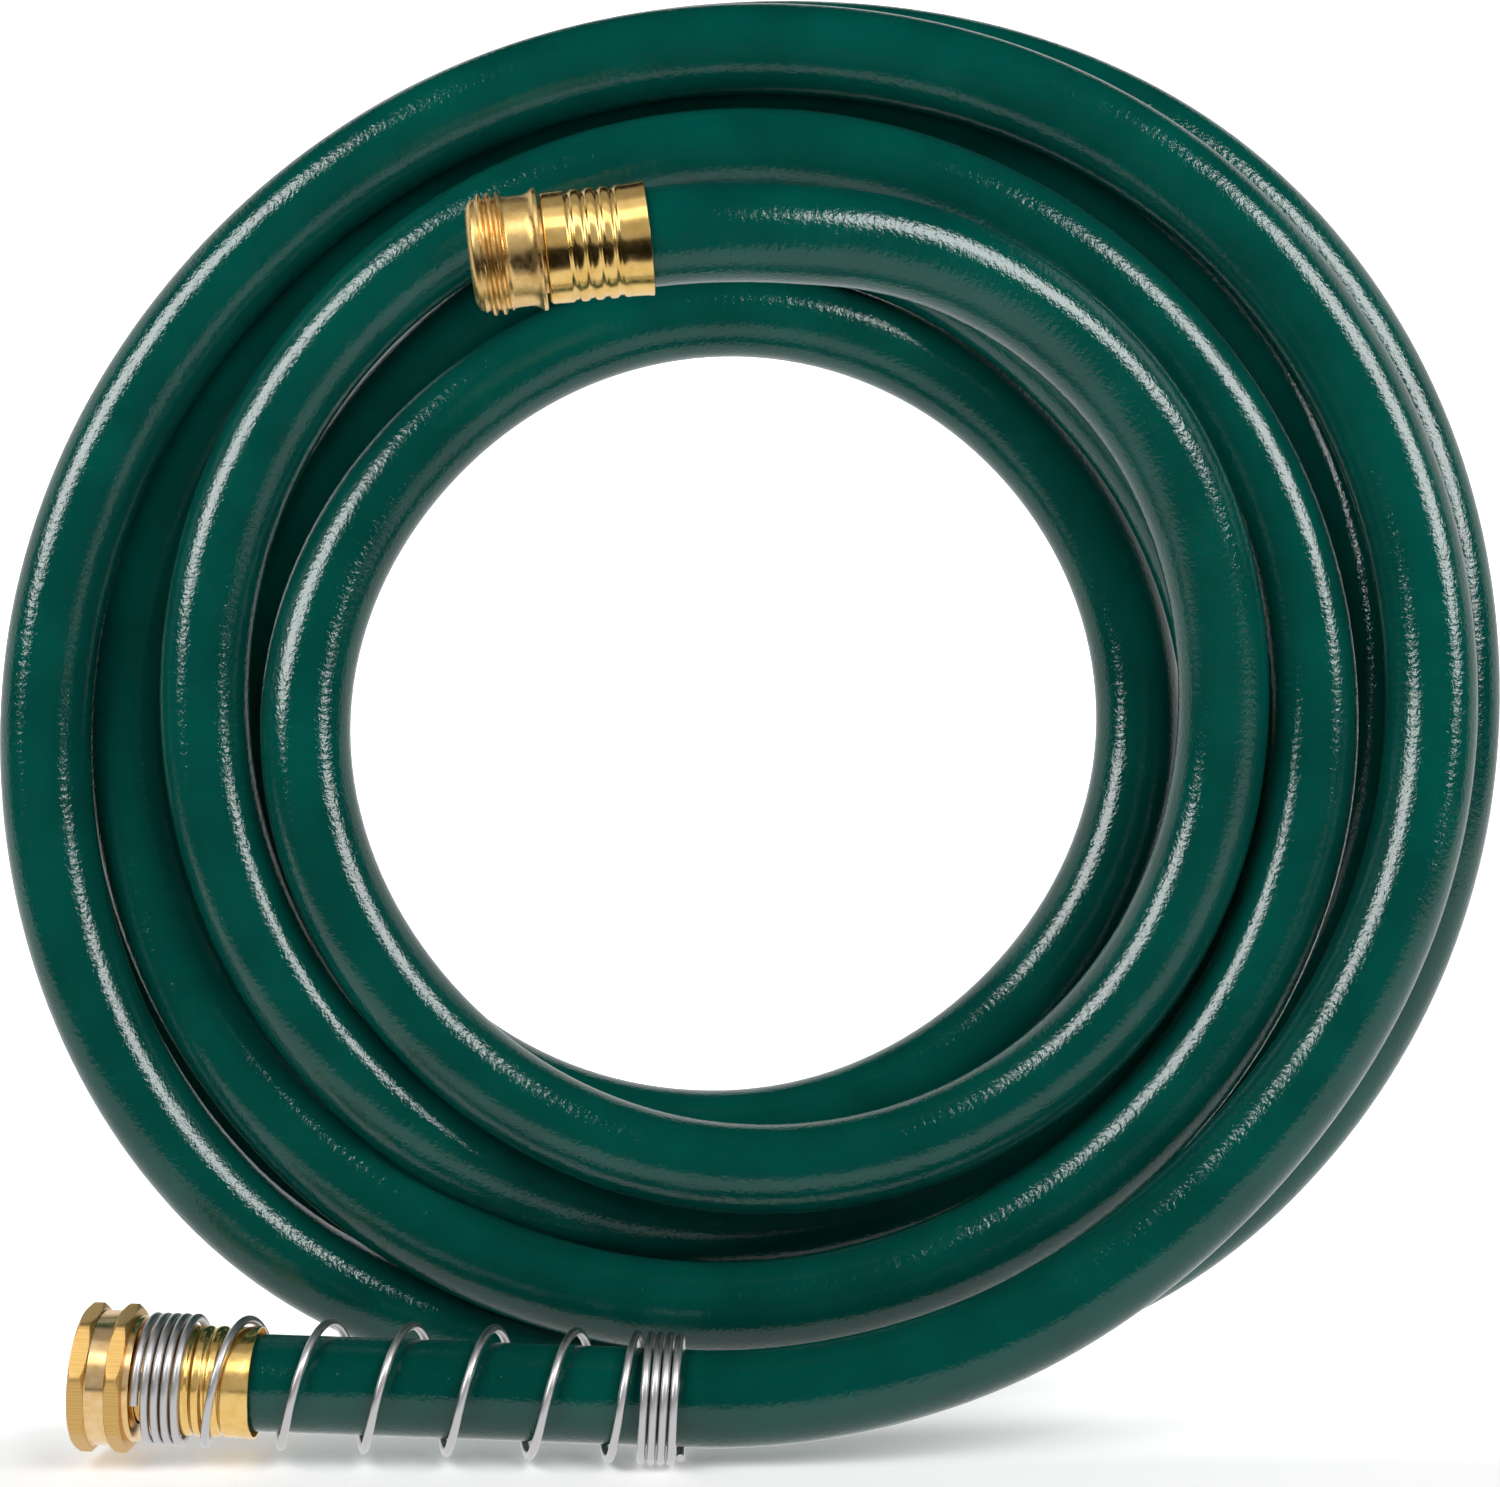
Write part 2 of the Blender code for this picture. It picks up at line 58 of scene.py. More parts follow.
# Hose, with the ripple that its braid leaves, slow waves and a fine grain
HOSE_OD = 0.0220
HOSE_RADIUS = HOSE_OD / 2
HOSE_SIDES = 36
HOSE_RING_SPACING = 0.0045
BRAID_PITCH = 0.0024
BRAID_HEIGHT = 0.000016
WAVE_HEIGHT = 0.00016
GRAIN_HEIGHT = 0.00013
RIPPLE_DRIFT = 9.0

# Colours, and how rough each surface is between its smoothest and its dullest spots
WHITE = (1.0, 1.0, 1.0, 1.0)
VINYL_GREEN = (0.0005, 0.046, 0.036)
VINYL_LIGHT = (0.0006, 0.060, 0.046)
VINYL_SPECULAR = 0.42
VINYL_ROUGHNESS = (0.06, 0.14)
TURNED_BRASS = (0.84, 0.57, 0.23)
TURNED_TARNISH = (0.72, 0.46, 0.15)
PRESSED_BRASS = (0.88, 0.59, 0.21)
PRESSED_TARNISH = (0.78, 0.49, 0.13)
PLANED_BRASS = (0.74, 0.48, 0.17)
PLANED_BRASS_DARK = (0.50, 0.30, 0.09)
NUT_BRASS = (0.86, 0.60, 0.32)
WIRE_COLOUR = (0.57, 0.56, 0.56)
WIRE_ROUGHNESS = (0.28, 0.36)
RUBBER_BLACK = (0.018, 0.018, 0.018)
RUBBER_DUSTY = (0.05, 0.048, 0.045)
BRASS_POLISH = (0.9, 1.4)
PLANED_ROUGHNESS = 0.42
RUBBER_ROUGHNESS = 0.6

# Roughness of each brass finish, and how high its turning rings stand
TURNED_FINISH = (0.30, 0.000002)
PRESSED_FINISH = (0.20, 0.000002)
NUT_FINISH = (0.19, 0.000008)
TAILPIECE_FINISH = (0.20, 0.000008)

# Height of the other materials' lines and grain, and the share of the finer noise in it
BRASS_SPOT_SHARE = 0.35
PLANED_LINE_HEIGHT = 0.00002
PLANED_ROUGH_SHARE = 0.5
PLANED_METRES_ROUND = 0.1
WIRE_LINE_HEIGHT = 0.000001
WIRE_LINES_ROUND = 9.0
RUBBER_GRAIN_HEIGHT = 0.00003

# Grains a metre in each material's noise
VINYL_DRIFT_GRAINS = 60.0
VINYL_WAVE_GRAINS = 130.0
VINYL_FINE_GRAINS = 1100.0
VINYL_CLOUD_GRAINS = 45.0
VINYL_DULL_GRAINS = 320.0
BRASS_RING_GRAINS = 5200.0
BRASS_SPOT_GRAINS = 700.0
BRASS_TARNISH_GRAINS = 260.0
PLANED_LINE_GRAINS = 3600.0
PLANED_ROUGH_GRAINS = 1800.0
WIRE_DULL_GRAINS = 400.0
RUBBER_FINE_GRAINS = 1600.0
RUBBER_DUST_GRAINS = 500.0

# Where in its noise each effect sets in, and where it is full
VINYL_CLOUDED = (0.35, 0.65)
VINYL_DULLED = (0.40, 0.70)
BRASS_TARNISHED = (0.42, 0.72)
BRASS_DULLED = (0.40, 0.75)
PLANED_DARKENED = (0.35, 0.70)
WIRE_DULLED = (0.35, 0.70)
RUBBER_DUSTED = (0.45, 0.80)

# Lights: each side has a softbox that the gloss shows and one that only shades. The metal has a
# dimmer softbox of its own each side, and a fill, a bright strip and a top fill
GLOSS_BOX_PLACE = Vector((1.09, -0.805, 0.85))
GLOSS_BOX_LEAN = Vector((-0.58, -0.29, 0.80))
GLOSS_BOX_SIZE = (0.62, 1.0)
GLOSS_BOX_RADIANCE = 14.0
METAL_BOX_RADIANCE = 3.4
SHADE_BOX_PLACE = Vector((0.95, -1.1, 1.25))
SHADE_BOX_SIZE = (1.0, 1.0)
SHADE_BOX_RADIANCE = 6.5
FILL_PLACE = Vector((0.0, -1.3, 1.05))
FILL_SIZE = (4.0, 2.8)
FILL_RADIANCE = 0.5
STRIP_PLACE = Vector((0.0, -1.25, 1.3))
STRIP_SIZE = (1.8, 0.6)
STRIP_RADIANCE = 1.7
TOP_FILL_PLACE = Vector((0.0, -0.25, 1.5))
TOP_FILL_SIZE = (3.0, 1.6)
TOP_FILL_RADIANCE = 0.34
UPRIGHT = Vector((0, 0, 1))
LIGHTS_AIM = Vector((0, 0, 0.18))

# Studio: the floor glows by itself but for a patch before the coil, which takes the shadows. A
# white card that only gloss sees lies on it, and a low white wall stands far behind in dark air
FLOOR_HALF = 6.0
FLOOR_WHITE = 0.96
FLOOR_ROUGHNESS = 0.7
FLOOR_GLOW = 0.19
FLOOR_GLOW_FROM = -0.03
FLOOR_GLOW_TO = 0.09
FLOOR_NEAR = 0.35
FLOOR_FAR = 0.9
CARD_CORNERS = ((-1.2, 0.0), (-0.3, -0.13), (0.05, -0.24), (1.2, -0.87), (1.2, 1.2), (-1.2, 1.2))
CARD_LIGHT = 0.95
CARD_BELOW = 0.0004
BACKGROUND_LIGHT = 1.0
AIR_DARK = 0.01
WALL_FROM = 0.02
WALL_FADE = 0.06
WALL_LIGHT = 0.85
WALL_TOP = 0.62
WALL_TOP_FADE = 0.1

# Turns: radius and depth in millimetres at 315, 0, 45, 90, 135, 180, 225 and 270 degrees about
# the turns' centre, where 0 is the right of the coil and 90 its top
TURNS_CENTRE = Vector((-0.001, 0.0, 0.1728))
TURNS_FIRST_ANGLE = 315
TURNS_ANGLE_STEP = 45
STEPS_BETWEEN_KEYS = 6
TURNS = (
    ((157.0, -30), (167.0, -15), (170.9, -8), (167.8, 0), (169.0, 0), (175.0, 0), (176.8, 2), (160.8, 12)),
    ((171.8, 8), (179.4, 8), (183.5, 12), (175.0, 22), (176.0, 25), (175.5, 33), (174.0, 32), (160.8, 35)),
    ((152.0, 26), (155.0, 19), (157.0, 15), (152.0, 21), (154.0, 18), (158.5, 17), (152.3, 2), (144.5, -9)),
    ((139.9, -8), (140.6, -5), (141.0, -3), (141.0, -3), (139.3, -3), (134.0, -5), (130.3, -3), (130.0, 15)),
    ((126.6, 14), (122.5, 13), (121.0, 12), (126.5, 17), (123.0, 24), (121.0, 20), (113.7, 20), (105.4, 15)),
    ((101.4, 24), (102.9, 30), (104.0, 32), (105.0, 19), (106.0, 6), (108.6, -8), (108.3, -9), (110.4, -10)),
    ((114.6, -10), (116.9, -12), (118.5, -31)),
)
TAIL_TURN = (285, 156.4, -41)
MALE_TURN = ((2587, 114.9, -46), (2603, 110.3, -55.5))

# Tail and male end
TAIL_FALL = math.radians(2.1)
TAIL_HOSE_FACE = 0.0182
TAIL_STRAIGHT = 0.146
TAIL_STEP = 0.012
NOSE_END_READ = Vector((-0.0625, -0.064, 0.2757))
NOSE_DROP = math.radians(6.8)
NOSE_FORWARD = math.radians(3.5)
MALE_HOSE_FACE = 0.0180
MALE_STRAIGHT_KEYS = (0.046, 0.038, 0.030)

# Couplings, along from each one's open end
THREAD_PITCH = 0.00221
MALE_THREAD_RADIUS = 0.0135
MALE_THREAD_ROOT = 0.0123
MALE_THREAD_START = 0.0019
MALE_THREAD_END = 0.0088
THREAD_ROW = 0.00016
THREAD_STEEPNESS = 3.2
THREAD_FOOT = 0.3
THREAD_FADE = 0.6
THREAD_RUNOUT = 0.0008
MALE_NOSE_FLAT = 0.0088
MALE_BORE_RADIUS = 0.0080
MALE_NECK_RADIUS = 0.0122
MALE_BEAD_RADIUS = 0.01355
MALE_BEAD_START = 0.0149
MALE_FLARE = 0.0026
MALE_FLARE_ROWS = ((0.4, 0.0001), (0.8, 0.0006))
MALE_BODY_LENGTH = 0.0161
TURNED_EDGE = 0.0003
TAILPIECE_RADIUS = 0.0098
SEAT_GAP = 0.0003

FERRULE_START_FEMALE = 0.0169
FERRULE_START_MALE = 0.0167
FERRULE_LENGTH = 0.0234
FERRULE_RADIUS = 0.01245
FERRULE_MOUTH_RADIUS = 0.01275
FERRULE_BAND = 0.0052
FERRULE_RIDGES = 4
FERRULE_RIDGE_PITCH = 0.0033
FERRULE_GROOVE = 0.0019
FERRULE_GROOVE_DEPTH = 0.00055
FERRULE_GROOVE_POWER = 1.5
FERRULE_GROOVE_STEPS = 8
FERRULE_LIP = 0.0010
FERRULE_SHOULDER = 0.0008
FERRULE_SHOULDER_DROP = 0.0001
FERRULE_CROWN = 0.00008
FERRULE_MOUTH_DEPTH = 0.0030
FERRULE_MOUTH_ROWS = (
    (-0.0012, -0.0001),
    (-0.0006, 0.00005),
    (-0.0001, 0.00005),
    (0.0, -0.0001),
    (0.0, -0.0005),
)

NUT_LENGTH = 0.0136
NUT_SIDES = 8
NUT_CORNER_ELEVATION = math.radians(12.5)
NUT_FLAT_RADIUS = 0.0157
NUT_CORNER_RADIUS = 0.0168
NUT_CHAMFER = 0.00075
NUT_CHAMFER_RADIUS = 0.01575
NUT_CHAMFER_ROW = 0.00008
NUT_EDGE = 0.0002
NUT_FACE_EDGE = 0.0005
NUT_BAND_RADIUS = 0.0152
NUT_FRONT_COLLAR = 0.0038
NUT_BAND_END = 0.0083
NUT_BACK_COLLAR_END = 0.0119
NUT_SHOULDER_RADIUS = 0.0142
NUT_THREAD_RADIUS = 0.0136
NUT_THREAD_MINOR = 0.0126
NUT_THREAD_START = 0.0006
NUT_THREAD_END = 0.0052
NUT_MOUTH_RADIUS = 0.0139
NUT_LIP = 0.0034
NUT_LIP_RADIUS = 0.0102

WASHER_NEAR = 0.0057
WASHER_FAR = 0.0084
WASHER_RADIUS = 0.01245
WASHER_ROUND = 0.0004

# Spring guard, wound left-handed: close turns at both ends and open ones between them
WIRE_RADIUS = 0.0010
SPRING_RADIUS = 0.0141
SPRING_START = 0.0149
SPRING_START_ANGLE = math.radians(189.5)
CLOSED_PITCH = 0.00228
OPEN_PITCH = 0.0191
CLOSED_TURNS_AT_NUT = 3.92
OPEN_TURNS = 5.36
CLOSED_TURNS_AT_END = 3.9
PITCH_CHANGE_TURNS = 1.6
WIRE_SIDES = 14
WIRE_STEPS_PER_TURN = 40

TURNED_SIDES = 96
NUT_SIDES_PER_FLAT = 20
SHARP_ANGLE = math.radians(30)


def material(name, colour, roughness, metallic=0.0):
    """A material with its plain values on its shader, and its node tree to add to."""
    made = bpy.data.materials.new(name)
    made.use_nodes = True
    shader = made.node_tree.nodes["Principled BSDF"]
    shader.inputs["Base Color"].default_value = (*colour, 1.0)
    shader.inputs["Roughness"].default_value = roughness
    shader.inputs["Metallic"].default_value = metallic
    made.diffuse_color = (*colour, 1.0)
    return made


def feed(tree, node, values):
    """Gives the node these values in turn, each a number or another node's socket."""
    for socket, value in zip(node.inputs, values):
        if isinstance(value, bpy.types.NodeSocket):
            tree.links.new(value, socket)
        else:
            socket.default_value = value


def add_math(tree, operation, *values):
    """A math node's result, whose values are numbers or sockets."""
    node = tree.nodes.new("ShaderNodeMath")
    node.operation = operation
    feed(tree, node, values)
    return node.outputs[0]


def place_in_metres(tree):
    return tree.nodes.new("ShaderNodeTexCoord").outputs["Object"]


def along_and_round(tree):
    """The UV map's two numbers: metres along the piece and turns round it."""
    uv = tree.nodes.new("ShaderNodeUVMap")
    uv.uv_map = "UVMap"
    parts = tree.nodes.new("ShaderNodeSeparateXYZ")
    tree.links.new(uv.outputs["UV"], parts.inputs[0])
    return parts.outputs["X"], parts.outputs["Y"]


def vector_of(tree, x, y, z):
    node = tree.nodes.new("ShaderNodeCombineXYZ")
    feed(tree, node, (x, y, z))
    return node.outputs[0]


def noise(tree, where, per_metre, detail=2.0):
    """Noise from 0 to 1 with about this many grains a metre."""
    node = tree.nodes.new("ShaderNodeTexNoise")
    node.inputs["Scale"].default_value = per_metre
    node.inputs["Detail"].default_value = detail
    tree.links.new(where, node.inputs["Vector"])
    return node.outputs["Fac"]


def ramp(tree, value, low, high, at_low, at_high):
    """This value spread from low..high onto at_low..at_high, and held there."""
    node = tree.nodes.new("ShaderNodeMapRange")
    tree.links.new(value, node.inputs["Value"])
    node.inputs["From Min"].default_value = low
    node.inputs["From Max"].default_value = high
    node.inputs["To Min"].default_value = at_low
    node.inputs["To Max"].default_value = at_high
    return node.outputs["Result"]


def colour_between(made, share, first, second):
    """Colours the material from first to second by share."""
    tree = made.node_tree
    node = tree.nodes.new("ShaderNodeMix")
    node.data_type = "RGBA"
    tree.links.new(share, node.inputs["Factor"])
    node.inputs[6].default_value = (*first, 1.0)
    node.inputs[7].default_value = (*second, 1.0)
    tree.links.new(node.outputs[2], tree.nodes["Principled BSDF"].inputs["Base Color"])


def bump(made, height, distance):
    """Raises the surface by height, from 0 to 1, times distance in metres."""
    tree = made.node_tree
    node = tree.nodes.new("ShaderNodeBump")
    node.inputs["Strength"].default_value = 1.0
    node.inputs["Distance"].default_value = distance
    tree.links.new(height, node.inputs["Height"])
    tree.links.new(node.outputs["Normal"], tree.nodes["Principled BSDF"].inputs["Normal"])


def green_vinyl():
    """Glossy extruded vinyl, rippled round the hose by the braid under it, with a fine grain."""
    made = material("green_vinyl", VINYL_GREEN, VINYL_ROUGHNESS[0])
    tree = made.node_tree
    shader = tree.nodes["Principled BSDF"]
    shader.inputs["Specular IOR Level"].default_value = VINYL_SPECULAR
    where = place_in_metres(tree)
    along, _ = along_and_round(tree)
    drift = add_math(tree, "MULTIPLY", noise(tree, where, VINYL_DRIFT_GRAINS), RIPPLE_DRIFT)
    phase = add_math(tree, "MULTIPLY_ADD", along, math.tau / BRAID_PITCH, drift)
    braid = add_math(tree, "MULTIPLY_ADD", add_math(tree, "SINE", phase), 0.5, 0.5)
    waves = noise(tree, where, VINYL_WAVE_GRAINS, 1.0)
    grain = noise(tree, where, VINYL_FINE_GRAINS, 3.0)
    height = add_math(tree, "MULTIPLY", braid, BRAID_HEIGHT)
    height = add_math(tree, "MULTIPLY_ADD", waves, WAVE_HEIGHT, height)
    height = add_math(tree, "MULTIPLY_ADD", grain, GRAIN_HEIGHT, height)
    bump(made, height, 1.0)
    clouds = ramp(tree, noise(tree, where, VINYL_CLOUD_GRAINS, 3.0), *VINYL_CLOUDED, 0.0, 1.0)
    colour_between(made, clouds, VINYL_GREEN, VINYL_LIGHT)
    dull = ramp(tree, noise(tree, where, VINYL_DULL_GRAINS, 3.0), *VINYL_DULLED, *VINYL_ROUGHNESS)
    tree.links.new(dull, shader.inputs["Roughness"])
    return made


def brass(name, colour, tarnish, roughness, ring_height):
    """Brass with turning rings round it, a little tarnish and uneven polish."""
    made = material(name, colour, roughness, 1.0)
    tree = made.node_tree
    where = place_in_metres(tree)
    along, _ = along_and_round(tree)
    rings = noise(tree, vector_of(tree, along, 0.0, 0.0), BRASS_RING_GRAINS, 3.0)
    spots = noise(tree, where, BRASS_SPOT_GRAINS, 4.0)
    height = add_math(tree, "MULTIPLY_ADD", spots, BRASS_SPOT_SHARE, rings)
    bump(made, height, ring_height)
    tarnished = ramp(tree, noise(tree, where, BRASS_TARNISH_GRAINS, 4.0), *BRASS_TARNISHED, 0.0, 1.0)
    colour_between(made, tarnished, colour, tarnish)
    smoothest, dullest = [roughness * share for share in BRASS_POLISH]
    dull = ramp(tree, spots, *BRASS_DULLED, smoothest, dullest)
    tree.links.new(dull, tree.nodes["Principled BSDF"].inputs["Roughness"])
    return made


def planed_brass():
    """The nut's flats, cut across with a tool that left fine lines along the nut."""
    made = material("planed_brass", PLANED_BRASS, PLANED_ROUGHNESS, 1.0)
    tree = made.node_tree
    where = place_in_metres(tree)
    _, turn = along_and_round(tree)
    across = vector_of(tree, 0.0, add_math(tree, "MULTIPLY", turn, PLANED_METRES_ROUND), 0.0)
    lines = noise(tree, across, PLANED_LINE_GRAINS, 4.0)
    rough = noise(tree, where, PLANED_ROUGH_GRAINS, 3.0)
    bump(made, add_math(tree, "MULTIPLY_ADD", rough, PLANED_ROUGH_SHARE, lines), PLANED_LINE_HEIGHT)
    darkened = ramp(tree, lines, *PLANED_DARKENED, 0.0, 1.0)
    colour_between(made, darkened, PLANED_BRASS, PLANED_BRASS_DARK)
    return made


def bright_wire():
    """Drawn wire with faint lines along it."""
    made = material("bright_wire", WIRE_COLOUR, WIRE_ROUGHNESS[0], 1.0)
    tree = made.node_tree
    where = place_in_metres(tree)
    _, turn = along_and_round(tree)
    lines = noise(tree, vector_of(tree, 0.0, turn, 0.0), WIRE_LINES_ROUND)
    bump(made, lines, WIRE_LINE_HEIGHT)
    dull = ramp(tree, noise(tree, where, WIRE_DULL_GRAINS, 3.0), *WIRE_DULLED, *WIRE_ROUGHNESS)
    tree.links.new(dull, tree.nodes["Principled BSDF"].inputs["Roughness"])
    return made


def washer_rubber():
    """Matt black rubber with a little dust."""
    made = material("washer_rubber", RUBBER_BLACK, RUBBER_ROUGHNESS)
    tree = made.node_tree
    where = place_in_metres(tree)
    bump(made, noise(tree, where, RUBBER_FINE_GRAINS, 3.0), RUBBER_GRAIN_HEIGHT)
    dusty = ramp(tree, noise(tree, where, RUBBER_DUST_GRAINS, 4.0), *RUBBER_DUSTED, 0.0, 1.0)
    colour_between(made, dusty, RUBBER_BLACK, RUBBER_DUSTY)
    return made


def through(keys, places):
    """Smooth values at these places through keys, each a place and its values, unevenly spaced."""
    at = [key[0] for key in keys]
    values = [Vector(key[1:]) for key in keys]
    slopes = [(values[i + 1] - values[i]) / (at[i + 1] - at[i]) for i in range(len(keys) - 1)]
    tangents = [slopes[0]]
    for i in range(1, len(keys) - 1):
        before = at[i] - at[i - 1]
        after = at[i + 1] - at[i]
        tangents.append((slopes[i - 1] * after + slopes[i] * before) / (before + after))
    tangents.append(slopes[-1])
    found = []
    i = 0
    for place in places:
        while i < len(at) - 2 and place > at[i + 1]:
            i += 1
        h = at[i + 1] - at[i]
        u = (place - at[i]) / h
        found.append(
            (2 * u**3 - 3 * u**2 + 1) * values[i]
            + (u**3 - 2 * u**2 + u) * h * tangents[i]
            + (3 * u**2 - 2 * u**3) * values[i + 1]
            + (u**3 - u**2) * h * tangents[i + 1]
        )
    return found


def evenly(points, spacing):
    """Points about this far apart on the smooth curve through these."""
    lengths = [0.0]
    for before, after in zip(points, points[1:]):
        lengths.append(lengths[-1] + (after - before).length)
    steps = round(lengths[-1] / spacing)
    keys = [(length, *point) for length, point in zip(lengths, points)]
    return through(keys, [lengths[-1] * step / steps for step in range(steps + 1)])


def tail_direction():
    return Vector((math.cos(TAIL_FALL), 0, -math.sin(TAIL_FALL)))


def nose_direction():
    return Vector(
        (
            math.cos(NOSE_DROP) * math.cos(NOSE_FORWARD),
            math.sin(NOSE_FORWARD),
            math.sin(NOSE_DROP),
        )
    ).normalized()


def around(angle, radius_mm, depth_mm):
    """A place at this angle in degrees, radius and depth about the turns' centre line."""
    turn = math.radians(angle)
    place = Vector((radius_mm * math.cos(turn), depth_mm, radius_mm * math.sin(turn)))
    return TURNS_CENTRE + place / 1000


def hose_route():
    """The hose's centre line from the nut's end, round every turn, to the male coupling."""
    keys = [TAIL_TURN]
    angle = TURNS_FIRST_ANGLE
    for turn in TURNS:
        for radius_mm, depth_mm in turn:
            keys.append((angle, radius_mm, depth_mm))
            angle += TURNS_ANGLE_STEP
    keys += MALE_TURN
    step = TURNS_ANGLE_STEP / STEPS_BETWEEN_KEYS
    count = int((keys[-1][0] - keys[0][0]) / step)
    angles = [keys[0][0] + step * i for i in range(count + 1)]
    coiled = [around(angle, *place) for angle, place in zip(angles, through(keys, angles))]
    steps = round((TAIL_STRAIGHT - TAIL_HOSE_FACE) / TAIL_STEP)
    tail = [
        NUT_END_READ + tail_direction() * (TAIL_HOSE_FACE + (TAIL_STRAIGHT - TAIL_HOSE_FACE) * i / steps)
        for i in range(steps + 1)
    ]
    male = [NOSE_END_READ + nose_direction() * along for along in (*MALE_STRAIGHT_KEYS, MALE_HOSE_FACE)]
    return [place + CENTRING for place in evenly(tail + coiled + male, HOSE_RING_SPACING)]


def frame_at(place, direction):
    """The matrix whose X runs from place along direction, with its Z kept as upright as it can be."""
    x_axis = direction.normalized()
    y_axis = Vector((0, 0, 1)).cross(x_axis).normalized()
    turn = Matrix((x_axis, y_axis, x_axis.cross(y_axis))).transposed().to_4x4()
    return Matrix.Translation(place) @ turn


def female_frame():
    return frame_at(NUT_END_READ + CENTRING, tail_direction())


def male_frame():
    return frame_at(NOSE_END_READ + CENTRING, nose_direction())


def finished_mesh(bm, name):
    """The mesh of bm, smooth over its round faces and sharp at its edges."""
    bmesh.ops.recalc_face_normals(bm, faces=bm.faces)
    mesh = bpy.data.meshes.new(name)
    bm.to_mesh(mesh)
    bm.free()
    mesh.shade_smooth()
    mesh.set_sharp_from_angle(angle=SHARP_ANGLE)
    return mesh


def ring_faces(bm, uv, first, second):
    """Joins two rings of points with faces, whose UVs are metres along and turns round."""
    (ring, along), (after, after_along) = first, second
    sides = len(ring)
    made = []
    for k in range(sides):
        nxt = (k + 1) % sides
        face = bm.faces.new((ring[k], ring[nxt], after[nxt], after[k]))
        corners = ((along, k), (along, k + 1), (after_along, k + 1), (after_along, k))
        for loop, place in zip(face.loops, corners):
            loop[uv].uv = (place[0], place[1] / sides)
        made.append(face)
    return made


def tube_mesh(name, path, radius, sides):
    """A closed round tube of this radius along path."""
    bm = bmesh.new()
    uv = bm.loops.layers.uv.new("UVMap")
    rings = []
    along = 0.0
    side = (path[1] - path[0]).orthogonal().normalized()
    for i, place in enumerate(path):
        tangent = (path[min(i + 1, len(path) - 1)] - path[max(i - 1, 0)]).normalized()
        side = (side - tangent * side.dot(tangent)).normalized()
        up = tangent.cross(side)
        if i:
            along += (place - path[i - 1]).length
        ring = []
        for k in range(sides):
            turn = math.tau * k / sides
            ring.append(bm.verts.new(place + radius * (side * math.cos(turn) + up * math.sin(turn))))
        rings.append((ring, along))
    for first, second in zip(rings, rings[1:]):
        ring_faces(bm, uv, first, second)
    bm.faces.new(rings[0][0][::-1])
    bm.faces.new(rings[-1][0])
    return finished_mesh(bm, name)


def turned_mesh(name, rows, at, sides=TURNED_SIDES, first_angle=0.0):
    """A closed solid turned about the X axis of the matrix at.

    Each row is how far along it lies, its radius and the slot of its material. A radius is a
    number, or a function of along and of the angle from the top towards the camera.
    """
    bm = bmesh.new()
    uv = bm.loops.layers.uv.new("UVMap")
    rings = []
    for along, radius, _ in rows:
        ring = []
        for k in range(sides):
            angle = first_angle + math.tau * k / sides
            reach = radius(along, angle) if callable(radius) else radius
            ring.append(bm.verts.new(at @ Vector((along, -reach * math.sin(angle), reach * math.cos(angle)))))
        rings.append((ring, along))
    for i, (_, _, slot) in enumerate(rows):
        for face in ring_faces(bm, uv, rings[i], rings[(i + 1) % len(rows)]):
            face.material_index = slot
    return finished_mesh(bm, name)


def plain_rows(points, slot=0):
    return [(along, radius, slot) for along, radius in points]


def spaced(start, end, step):
    """Places from start to end, about this step apart."""
    count = max(1, round((end - start) / step))
    return [start + (end - start) * i / count for i in range(count + 1)]


def held(value):
    return min(1.0, max(0.0, value))


def thread_ridge(along, angle, start, end):
    """How high a right-hand thread stands here, from 0 at its root to 1 at its crest."""
    phase = ((along - start) / THREAD_PITCH - angle / math.tau) % 1.0
    rise = held(THREAD_STEEPNESS * (0.5 - abs(phase - 0.5)) - THREAD_FOOT)
    ridge = rise * rise * (3 - 2 * rise)
    fade_in = held((along - start) / (THREAD_FADE * THREAD_PITCH))
    fade_out = held((end - along) / (THREAD_FADE * THREAD_PITCH))
    return ridge * min(fade_in, fade_out)


def male_thread(along, angle):
    ridge = thread_ridge(along, angle, MALE_THREAD_START, MALE_THREAD_END)
    return MALE_THREAD_ROOT + (MALE_THREAD_RADIUS - MALE_THREAD_ROOT) * ridge


def nut_thread(along, angle):
    ridge = thread_ridge(along, angle, NUT_THREAD_START, NUT_THREAD_END)
    return NUT_THREAD_RADIUS - (NUT_THREAD_RADIUS - NUT_THREAD_MINOR) * ridge


def quarter_round(start, end, steps=6):
    """Places on the quarter of an ellipse that leaves start along the radius and meets end along the axis."""
    places = []
    for step in range(steps + 1):
        turn = math.pi / 2 * step / steps
        along = start[0] + (end[0] - start[0]) * (1 - math.cos(turn))
        places.append((along, start[1] + (end[1] - start[1]) * math.sin(turn)))
    return places


def new_object(name, data):
    """This mesh, light or camera as an object of the scene."""
    made = bpy.data.objects.new(name, data)
    bpy.context.collection.objects.link(made)
    return made


def add_piece(name, mesh, finishes, body, *nodes):
    """The piece as an object in its materials, on its body and in its CAD nodes' place."""
    for finish in finishes:
        mesh.materials.append(finish)
    made = new_object(name, mesh)
    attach(made, body)
    if nodes:
        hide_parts(*nodes)
    return made


